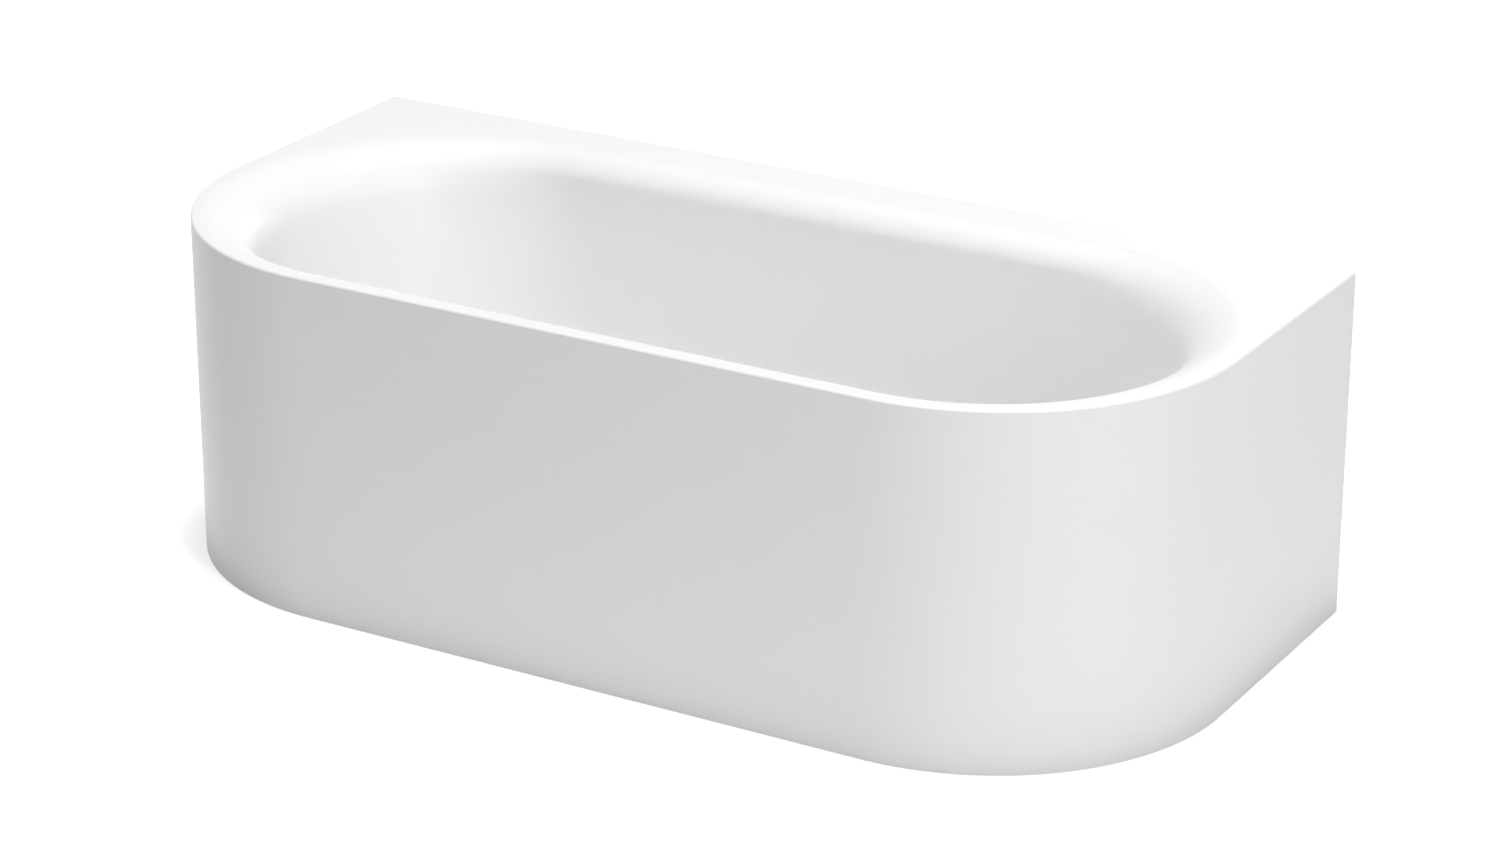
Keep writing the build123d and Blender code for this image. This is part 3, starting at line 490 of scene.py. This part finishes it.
boolean(tub, cutter, "DIFFERENCE")
finish_mesh(tub)
tub.data.materials.append(MATERIALS["enamel"])

# Panel: one bent sheet with its foot flange
PANEL_STEPS = [("side", 1 - i / SIDE) for i in range(SIDE)]
PANEL_STEPS += [("arc", 1 - i / ARC) for i in range(ARC)]
PANEL_STEPS += [("front", 1 - i / (STRAIGHT / 2)) for i in range(STRAIGHT // 2 + 1)]
FOOT_ROUND = 0.002
section = [(0.0, HEIGHT - LIP)] + [(0.0, z) for z in (0.45, 0.30, 0.15, 0.02)]
for turn in np.radians([0, 22.5, 45, 67.5, 90]):
    section.append((FOOT_ROUND * (1 - math.cos(turn)), FOOT_ROUND * (1 - math.sin(turn))))
section += [(SHEET + FOOT_FLANGE, 0.0), (SHEET + FOOT_FLANGE, SHEET), (SHEET, SHEET)]
section += [(SHEET, z) for z in (0.15, 0.30, 0.45)] + [(SHEET, HEIGHT - LIP)]


def panel_point(kind, share, inset):
    if kind == "side":
        return LENGTH / 2 - inset, CORNER_Y + share * (WIDTH / 2 - CORNER_Y)
    return outline_point(kind, share, inset)


half = [[(*panel_point(k, s, inset), z) for inset, z in section] for k, s in PANEL_STEPS]
other_half = [[(-x, y, z) for x, y, z in ring] for ring in half[-2::-1]]
panel_rings = half + other_half
verts, faces = grid(panel_rings, False)
n = len(section)
faces.append(tuple(range(n - 1, -1, -1)))
faces.append(tuple(range(len(verts) - n, len(verts))))
panel = new_piece("enamelled_panel", verts, faces, stands_for=["apron_panel"], slot="enamel")
for side in (-1, 1):
    outer, inner = side * (LENGTH / 2 - SHEET / 2), side * (LENGTH / 2 - SHEET - RETURN_FLANGE)
    low, high = SHEET / 2, HEIGHT - REAR_FLANGE
    across, along = sorted((outer, inner)), (WIDTH / 2 - SHEET, WIDTH / 2)
    box = [(x, y, z) for x in across for y in along for z in (low, high)]
    quads = [(0, 1, 3, 2), (4, 6, 7, 5), (0, 4, 5, 1), (2, 3, 7, 6), (0, 2, 6, 4), (1, 5, 7, 3)]
    boolean(panel, raw_object("return_flange", box, quads), "UNION")
finish_mesh(panel)
panel.data.materials.clear()
panel.data.materials.append(MATERIALS["enamel"])

# Materials of the carried-over nodes
slot_of = {part["node"]: part["material_slot"] for part in frame["record"]["subparts"]}
rod = threaded("threaded_rod_painted_groove_shade", (0.30, 0.30, 0.30), (0.68, 0.68, 0.66), 0.28, STEM_PITCH, STEM_THREAD)
for name, obj in nodes.items():
    obj.data.materials.clear()
    obj.data.materials.append(rod if name.startswith("foot_stem") else MATERIALS[slot_of[name]])

# Camera
FOCAL_PIXELS, FRAME_PIXELS = 4242.17, 1500.0
camera_data = bpy.data.cameras.new("camera")
camera = bpy.data.objects.new("camera", camera_data)
bpy.context.scene.collection.objects.link(camera)
camera_data.sensor_width = 36.0
camera_data.lens = camera_data.sensor_width * FOCAL_PIXELS / FRAME_PIXELS
camera_data.clip_end = 100.0
look = Vector((-0.46719, 0.80286, -0.37034)).normalized()
roll = 0.0016
camera.rotation_mode = "QUATERNION"
turned_up = Matrix.Rotation(roll, 4, "Z").to_quaternion()
camera.rotation_quaternion = look.to_track_quat("-Z", "Y") @ turned_up
camera.location = (3.1954, -5.3801, 2.7847)
bpy.context.scene.camera = camera

# Floor, world and lamps
WHITE = 1.0
FLOOR_ALBEDO = 0.80
FLOOR_GLOW = 0.62
NEAR_FLOOR, FAR_FLOOR = 1.6, 4.5


def shown_rays(tree):
    """1 for camera, glossy and transmission rays, 0 for the rest."""
    path = tree.nodes.new("ShaderNodeLightPath")
    add = tree.nodes.new("ShaderNodeMath")
    add.operation = "ADD"
    tree.links.new(path.outputs["Is Camera Ray"], add.inputs[0])
    tree.links.new(path.outputs["Is Glossy Ray"], add.inputs[1])
    more = tree.nodes.new("ShaderNodeMath")
    more.operation = "ADD"
    more.use_clamp = True
    tree.links.new(add.outputs[0], more.inputs[0])
    tree.links.new(path.outputs["Is Transmission Ray"], more.inputs[1])
    return more.outputs[0]


WORLD_LIGHT = 0.01
world = bpy.data.worlds.new("studio")
world.use_nodes = True
tree = world.node_tree
tree.nodes.clear()
shown = tree.nodes.new("ShaderNodeBackground")
shown.inputs["Color"].default_value = (1, 1, 1, 1)
shown.inputs["Strength"].default_value = WHITE
light = tree.nodes.new("ShaderNodeBackground")
light.inputs["Color"].default_value = (1, 1, 1, 1)
light.inputs["Strength"].default_value = WORLD_LIGHT
mix = tree.nodes.new("ShaderNodeMixShader")
out = tree.nodes.new("ShaderNodeOutputWorld")
tree.links.new(shown_rays(tree), mix.inputs[0])
tree.links.new(light.outputs[0], mix.inputs[1])
tree.links.new(shown.outputs[0], mix.inputs[2])
tree.links.new(mix.outputs[0], out.inputs[0])
bpy.context.scene.world = world

floor_mesh = bpy.data.meshes.new("studio_floor")
FLOOR_HALF, FLOOR_Z = 14.0, -0.0005
corners = [(-1, -1), (1, -1), (1, 1), (-1, 1)]
corners = [(x * FLOOR_HALF, y * FLOOR_HALF, FLOOR_Z) for x, y in corners]
floor_mesh.from_pydata(corners, [], [(0, 1, 2, 3)])
floor = bpy.data.objects.new("studio_floor", floor_mesh)
bpy.context.scene.collection.objects.link(floor)
floor_mat = bpy.data.materials.new("studio_floor")
floor_mat.use_nodes = True
tree = floor_mat.node_tree
tree.nodes.clear()
diffuse = tree.nodes.new("ShaderNodeBsdfDiffuse")
diffuse.inputs["Color"].default_value = (FLOOR_ALBEDO, FLOOR_ALBEDO, FLOOR_ALBEDO, 1)
glow = tree.nodes.new("ShaderNodeEmission")
glow.inputs["Strength"].default_value = WHITE
place = tree.nodes.new("ShaderNodeTexCoord")
far = tree.nodes.new("ShaderNodeVectorMath")
far.operation = "LENGTH"
tree.links.new(place.outputs["Object"], far.inputs[0])
level = spread(tree, far.outputs["Value"], FLOOR_GLOW, WHITE, NEAR_FLOOR, FAR_FLOOR)
tree.links.new(level, glow.inputs["Strength"])
none = tree.nodes.new("ShaderNodeEmission")
none.inputs["Strength"].default_value = 0.0
pick = tree.nodes.new("ShaderNodeMixShader")
tree.links.new(shown_rays(tree), pick.inputs[0])
tree.links.new(none.outputs[0], pick.inputs[1])
tree.links.new(glow.outputs[0], pick.inputs[2])
add = tree.nodes.new("ShaderNodeAddShader")
tree.links.new(diffuse.outputs[0], add.inputs[0])
tree.links.new(pick.outputs[0], add.inputs[1])
out = tree.nodes.new("ShaderNodeOutputMaterial")
tree.links.new(add.outputs[0], out.inputs[0])
floor_mesh.materials.append(floor_mat)


def area_lamp(name, place, target, width, height, power):
    data = bpy.data.lights.new(name, "AREA")
    data.shape = "RECTANGLE"
    data.size, data.size_y = width, height
    data.energy = power
    obj = bpy.data.objects.new(name, data)
    bpy.context.scene.collection.objects.link(obj)
    obj.location = place
    way = Vector(target) - Vector(place)
    obj.rotation_mode = "QUATERNION"
    obj.rotation_quaternion = way.to_track_quat("-Z", "Y")
    return obj


MIDDLE = (0.0, 0.0, 0.3)
LAMPS = {
    "front": ((-0.553, -6.32, 3.258), MIDDLE, 4.0, 3.0, 58.0),
    "left": ((-5.11, -2.383, 2.352), MIDDLE, 3.0, 3.0, 20.0),
    "right": ((5.417, -0.474, 2.836), MIDDLE, 3.0, 3.0, 35.0),
    "strip": ((4.786, -3.108, 2.154), MIDDLE, 0.5, 3.0, 109.0),
    "top": ((0.0, 0.0, 7.3), MIDDLE, 1.6, 1.6, 394.0),
    "rear": ((0.0, 6.2, 0.9), MIDDLE, 4.0, 1.4, 140.0),
}
for name, values in LAMPS.items():
    area_lamp(name, *values)

bpy.context.scene.view_settings.view_transform = "Standard"
bpy.context.view_layer.update()
